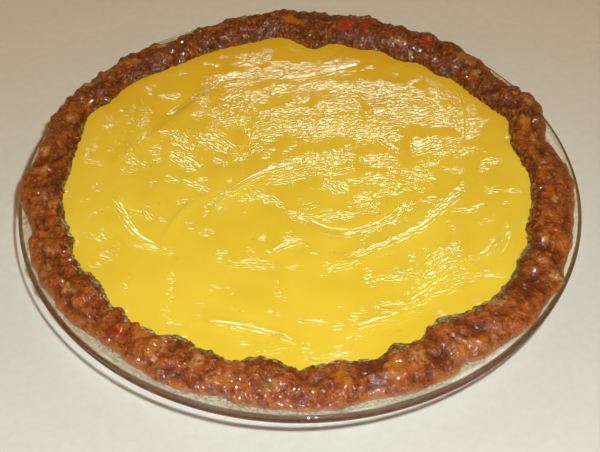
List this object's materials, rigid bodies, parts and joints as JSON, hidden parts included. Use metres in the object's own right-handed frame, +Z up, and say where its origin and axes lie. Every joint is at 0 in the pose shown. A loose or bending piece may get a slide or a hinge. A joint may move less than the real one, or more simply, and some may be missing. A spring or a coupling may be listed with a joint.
{
  "type": "canistel custard tart",
  "caption": "Round open tart in a clear glass pie dish: a ragged case of chopped nuts and dates, filled level with spread yellow custard, to slice and serve.",
  "frame": {"origin": "on the table, under the middle of the dish's flat foot", "axes": "+Z up; the pictured front of the tart faces -Y; +X is to the right in the picture"},
  "size_m": [0.2386, 0.2386, 0.0474],
  "materials": {
    "clear_glass": "clear pressed glass, polished",
    "nut_date_case": "sticky chopped nuts and dates, brown with tan and red pieces and wet glints",
    "custard": "smooth yellow custard with a soft sheen and spatula marks"
  },
  "bodies": {
    "root": {"dish": "clear_glass", "crust": "nut_date_case", "custard": "custard"}
  },
  "joints": []
}
